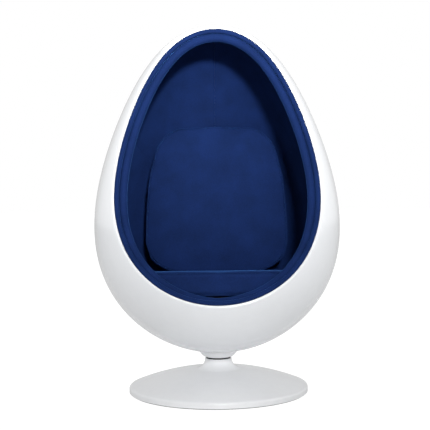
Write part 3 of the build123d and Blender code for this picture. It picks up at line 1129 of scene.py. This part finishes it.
@dataclass
class TrumpetBase:
    """Spun base with its neck, which the hub turns over.

    Attributes:
        radius: The radius of its edge.
        lift: How high its edge stands over the floor.
        wall: The sheet's thickness.
        edge_height: Where the dome's curve would meet the edge.
        edge_round: The radius from the dome into the edge.
        dome_top: Where the dome's curve would meet the axis.
        neck: The neck's radius.
        neck_top: The height of its top.
        neck_fillet: The radius from the dome up into the neck.
        lip_round: How wide both raw edges are broken.
        arc_steps: How many facets the fillet, the dome and the edge's rounding have.
        stations: How many facets it has round the axis.
    """

    radius: float = 315 * MM
    lift: float = 3 * MM
    wall: float = 4 * MM
    edge_height: float = 22.5 * MM
    edge_round: float = 9 * MM
    dome_top: float = 84.5 * MM
    neck: float = 47 * MM
    neck_top: float = 117 * MM
    neck_fillet: float = 36 * MM
    lip_round: float = 1.2 * MM
    arc_steps: tuple[int, int, int] = (14, 40, 7)
    stations: int = 160

    def outline(self, drop: float) -> list[Flat]:
        """The skin's outline from the neck's top to the edge's foot.

        Args:
            drop: How far inside the outer surface.

        Returns:
            The points of the outline.
        """
        rise = self.dome_top - self.edge_height
        dome = (self.radius**2 + rise**2) / (2 * rise)
        centre = self.dome_top - dome
        dome -= drop
        neck, fillet = self.neck - drop, self.neck_fillet + drop
        fillet_x = neck + fillet
        fillet_z = centre + math.sqrt((dome + fillet) ** 2 - fillet_x**2)
        joint = math.atan2(fillet_z - centre, fillet_x)
        edge, bend = self.radius - drop, self.edge_round - drop
        bend_x = edge - bend
        bend_z = centre + math.sqrt((dome - bend) ** 2 - bend_x**2)
        brim = math.atan2(bend_z - centre, bend_x)
        points = [(neck, self.neck_top - (0.0 if drop else self.lip_round))]
        up, across, down = self.arc_steps
        points += arc((fillet_x, fillet_z), fillet, math.pi, math.pi + joint, up)
        points += arc((0.0, centre), dome, joint, brim, across)[1:]
        points += arc((bend_x, bend_z), bend, brim, 0.0, down)[1:]
        return points + [(edge, self.lift + (0.0 if drop else self.lip_round))]

    def build(self) -> Piece:
        """The skin, inside and out, with rounded raw edges.

        Returns:
            The base's skin.
        """
        outside, inside = self.outline(0.0), self.outline(self.wall)
        foot = [(self.radius - self.lip_round, self.lift)]
        lip = [(self.neck - self.lip_round, self.neck_top)]
        ring = outside + foot + list(reversed(inside)) + lip
        return smooth(Lathe(steps=self.stations).turn("base_skin", ring, closed=True), SPUN)

    def dress(self) -> None:
        """Builds the base and puts it in place of its plain solid."""
        base = self.build()
        LACQUER.dress(base)
        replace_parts(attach(base, "base"), "base_cover")
        log.info("base: %d faces", len(base.data.polygons))


@dataclass
class HubBowl:
    """Lacquered bowl under the shell that hides the swivel's flange.

    Attributes:
        foot: Radius and height of its foot.
        brow: Those of its upper edge.
        belly: Those of a point of its side between them.
        foot_round: The radius that its foot is rounded by.
        foot_end: The angle that this rounding ends at, in radians.
        flange: Radius and floor of the room inside for the flange.
        collar: Radius and floor of the room below it for the collar.
        bore: The radius of the hole for the spindle.
        seat: How far it reaches into the shell's wall.
        top: The height that it is turned to before it is cut to the egg.
        over: How much wider than the upper edge it is there.
        arc_steps: How many facets the side and the foot's rounding have.
        stations: How many facets it has round the axis.
    """

    foot: Flat = (45 * MM, 121.5 * MM)
    brow: Flat = (71 * MM, 149 * MM)
    belly: Flat = (61.5 * MM, 134 * MM)
    foot_round: float = 2.5 * MM
    foot_end: float = -0.4
    flange: Flat = (55.5 * MM, 133 * MM)
    collar: Flat = (36 * MM, 126 * MM)
    bore: float = 28.2 * MM
    seat: float = 1.0 * MM
    top: float = 160 * MM
    over: float = 2 * MM
    arc_steps: tuple[int, int] = (18, 4)
    stations: int = 128

    def build(self) -> Piece:
        """Turned bowl, cut to the underside of the egg.

        Returns:
            The bowl.
        """
        (x1, z1), (x3, z3) = self.foot, self.brow
        centre, radius = circle(self.foot, self.belly, self.brow)
        start = math.atan2(z1 - centre[1], x1 - centre[0])
        end = math.atan2(z3 - centre[1], x3 - centre[0])
        side = arc(centre, radius, start, end, self.arc_steps[0])
        low = (x1 - self.foot_round, z1 + self.foot_round)
        foot = arc(low, self.foot_round, -math.pi / 2, self.foot_end, self.arc_steps[1])
        outside = foot + side[2:] + [(x3 + self.over, self.top)]
        inside = [(self.flange[0], self.top), self.flange, (self.collar[0], self.flange[1])]
        inside += [self.collar, (self.bore, self.collar[1]), (self.bore, z1)]
        bowl = Lathe(steps=self.stations).turn("hub_bowl", outside + inside, closed=True)
        egg = EGG.skin("egg_cutter", self.seat)
        modify(bowl, "BOOLEAN", operation="DIFFERENCE", object=egg, solver="EXACT")
        bpy.data.objects.remove(egg)
        return smooth(bowl, SPUN)

    def dress(self) -> None:
        """Builds the bowl and puts it in place of its plain solid."""
        bowl = self.build()
        HUB_PAINTED_LIGHT_LACQUER.dress(bowl)
        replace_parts(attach(bowl, "pod"), "hub_cup")
        log.info("hub bowl: %d faces", len(bowl.data.polygons))


# -------- studio


@dataclass(frozen=True)
class Lamp:
    """A square soft box that faces a target, and fades out at half its spread from there.

    Attributes:
        name: The lamp's name.
        place: Where it hangs.
        target: What it faces.
        size: The length of its side.
        power: Its power in watts.
        spread: The angle of its cone, in degrees.
    """

    name: str
    place: Vector
    target: Vector
    size: float
    power: float
    spread: float

    def hang(self) -> None:
        """Puts the lamp into the scene."""
        data = bpy.data.lights.new(self.name, "AREA")
        data.size, data.energy, data.spread = self.size, self.power, math.radians(self.spread)
        lamp = bpy.data.objects.new(self.name, data)
        bpy.context.scene.collection.objects.link(lamp)
        lamp.location = self.place
        lamp.rotation_mode = "QUATERNION"
        lamp.rotation_quaternion = (self.target - self.place).to_track_quat("-Z", "Y")


# The key lamp models the pod from the front and draws the rim's shadow into the lining, the foot
# lamp lights the base alone, and the overhead one behind the pod lights its shoulders.
LAMPS = (
    Lamp("key", Vector((0.42, -4.2, 1.9)), Vector((0.0, -0.2, 1.3)), 0.3, 9.5, 34.0),
    Lamp("foot", Vector((0.3, -3.6, 0.9)), Vector((0.0, -0.3, -0.05)), 0.5, 0.45, 14.0),
    Lamp("overhead", Vector((0.0, 1.9, 2.9)), Vector((0.0, 0.0, 0.8)), 2.0, 14.0, 180.0),
)


@dataclass
class Studio:
    """Pale floor, soft light and the camera at the photograph's angle.

    Attributes:
        distance: Horizontal distance of the camera from the swivel axis.
        height: Height of the camera.
        yaw: How far the camera stands to the -X side, in radians.
        lens: Focal length, in millimetres.
        sensor: The sensor's width, in millimetres.
        shift: Lens shift, as a share of the frame.
        roll: How far the camera is turned about its line of sight, in degrees.
        floor_size: The length of the floor's side.
        floor_colour: The floor's colour in its shaded part.
        glow: How bright the floor's glowing part is.
        seen: The share of the glow as the camera sees the floor, which leaves a faint shadow.
        bounce: The share of the glow as the chair sees it.
        front: How bright the room in front of the chair is.
        flank: How much brighter it is to both sides.
        flanks: Between which shares of a direction's sideways part it gets brighter.
        sides: How much the room behind the mouth adds at the height of the floor.
        ceiling: How much it adds overhead.
        behind: From which and to which part of a direction along the mouth's that adding fades.
    """

    distance: float = 3.707
    height: float = 0.754
    yaw: float = 0.010
    lens: float = 87.5
    sensor: float = 36.0
    shift: tuple[float, float] = (-0.0034, -0.0861)
    roll: float = -0.6
    floor_size: float = 40.0
    floor_colour: str = "#D8D8D8"
    glow: float = 1.16
    seen: float = 0.86
    bounce: float = 0.14
    front: float = 0.48
    flank: float = 0.5
    flanks: tuple[float, float] = (0.4, 0.9)
    sides: float = 0.15
    ceiling: float = 0.3
    behind: tuple[float, float] = (-0.1, 0.15)

    def camera(self) -> None:
        """The camera, level but for a slight roll."""
        data = bpy.data.cameras.new("camera")
        camera = bpy.data.objects.new("camera", data)
        bpy.context.scene.collection.objects.link(camera)
        data.lens, data.sensor_width = self.lens, self.sensor
        data.shift_x, data.shift_y = self.shift
        turn = Matrix.Rotation(-self.yaw, 4, "Z")
        upright = Matrix.Rotation(math.pi / 2, 4, "X")
        lean = Matrix.Rotation(math.radians(self.roll), 4, "Z")
        place = Matrix.Translation((0.0, -self.distance, self.height))
        camera.matrix_world = turn @ place @ upright @ lean
        bpy.context.scene.camera = camera

    def floor(self) -> None:
        """A white floor that shows as white paper and keeps a faint shadow."""
        bpy.ops.object.select_all(action="DESELECT")
        bpy.ops.mesh.primitive_plane_add(size=self.floor_size)
        floor = bpy.context.object
        floor.name = "studio_floor"
        paper = bpy.data.materials.new("white_paper_floor")
        paper.use_nodes = True
        tree = paper.node_tree
        tree.nodes.clear()
        matt = node(tree, "BsdfDiffuse", {"Color": linear(self.floor_colour)}, {})
        glow = node(tree, "Emission", {"Color": WHITE, "Strength": self.glow}, {})
        seen = node(tree, "LightPath", {}, {}).outputs["Is Camera Ray"]
        settings = {"To Min": self.bounce, "To Max": self.seen}
        share = node(tree, "MapRange", settings, {"Value": seen}).outputs[0]
        both = node(tree, "MixShader", {}, {0: share, 1: matt.outputs[0], 2: glow.outputs[0]})
        node(tree, "OutputMaterial", {}, {"Surface": both.outputs[0]})
        floor.data.materials.append(paper)

    def sky(self) -> None:
        """A white room: white to the eye, lit from above and behind and dim in front."""
        world = bpy.data.worlds.new("white_room")
        bpy.context.scene.world = world
        world.use_nodes = True
        tree = world.node_tree
        tree.nodes.clear()
        place = node(tree, "TexCoord", {}, {}).outputs["Generated"]
        parts = node(tree, "SeparateXYZ", {}, {"Vector": place}).outputs
        facing = {"operation": "DOT_PRODUCT", 1: MOUTH.normal}
        ahead = node(tree, "VectorMath", facing, {0: place}).outputs["Value"]
        aside = node(tree, "Math", {"operation": "ABSOLUTE"}, {0: parts["X"]}).outputs[0]
        ramps = (
            (ahead, self.behind, (1.0, 0.0)),
            (parts["Z"], (0.0, 1.0), (self.sides, self.ceiling)),
            (aside, self.flanks, (self.front, self.front + self.flank)),
        )
        levels = []
        for value, (start, end), (low, high) in ramps:
            limits = {"From Min": start, "From Max": end, "To Min": low, "To Max": high}
            levels.append(node(tree, "MapRange", limits, {"Value": value}).outputs[0])
        behind, wall, room = levels
        total = {"operation": "MULTIPLY_ADD"}
        level = node(tree, "Math", total, {0: behind, 1: wall, 2: room}).outputs[0]
        light = node(tree, "Background", {"Color": WHITE}, {"Strength": level})
        white = node(tree, "Background", {"Color": WHITE, "Strength": 1.0}, {})
        seen = node(tree, "LightPath", {}, {}).outputs["Is Camera Ray"]
        links = {0: seen, 1: light.outputs[0], 2: white.outputs[0]}
        both = node(tree, "MixShader", {}, links)
        node(tree, "OutputWorld", {}, {"Surface": both.outputs[0]})

    def build(self) -> None:
        """Sets the whole studio up."""
        self.camera()
        self.floor()
        self.sky()
        for lamp in LAMPS:
            lamp.hang()
        bpy.context.scene.view_settings.view_transform = "Standard"


# -------- the whole chair


# The seat's front edge and fall, and the back cushion's foot and facing, with their thicknesses.
# The back cushion's thickness runs forward, 80 degrees over from upright, so it leans back by 10.
SEAT_FRONT = Vector((0.0, -320 * MM, 446 * MM))
SEAT_FALL = 6.0
SEAT_THICK = 72 * MM
BACK_FOOT = Vector((0.0, 92.6 * MM, 407.1 * MM))
BACK_FACING = -80.0
BACK_THICK = 92 * MM


def seams(point: Vector, degrees: float, thick: float) -> list[Plane]:
    """The planes of a cushion's two seams.

    Args:
        point: A point of the first one.
        degrees: How far the cushion's thickness leans back from upright.
        thick: How far apart they are.

    Returns:
        Both planes.
    """
    lean = math.radians(degrees)
    normal = Vector((0.0, math.sin(lean), math.cos(lean)))
    return [(point, normal), (point - normal * thick, normal)]


def main() -> None:
    """Builds the chair piece by piece, then the studio."""
    logging.basicConfig(level=logging.INFO, format="%(name)s %(message)s")
    for name, part in NODES.items():
        slot = next(s["material_slot"] for s in frame["record"]["subparts"] if s["node"] == name)
        finish = next((f for f in HIDDEN_FINISHES if f.slot == slot), None)
        if finish is not None:
            finish.dress(part)
            log.info("%s: %s", name, finish.title)
    OuterShell().dress()
    rim = Rim()
    rim.dress()
    Lining(rim.roll).dress()
    Cushion("seat_cushion", seams(SEAT_FRONT, SEAT_FALL, SEAT_THICK), cap=4 * MM).dress()
    Cushion(
        "back_cushion",
        seams(BACK_FOOT, BACK_FACING, BACK_THICK),
        stiff=True,
        waist=14 * MM,
        lift=22 * MM,
        corner=125 * MM,
        taper=(0.33, 1.1),
        welt=1.8 * MM,
    ).dress()
    TrumpetBase().dress()
    HubBowl().dress()
    Studio().build()


if __name__ == "__main__":
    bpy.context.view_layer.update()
    main()
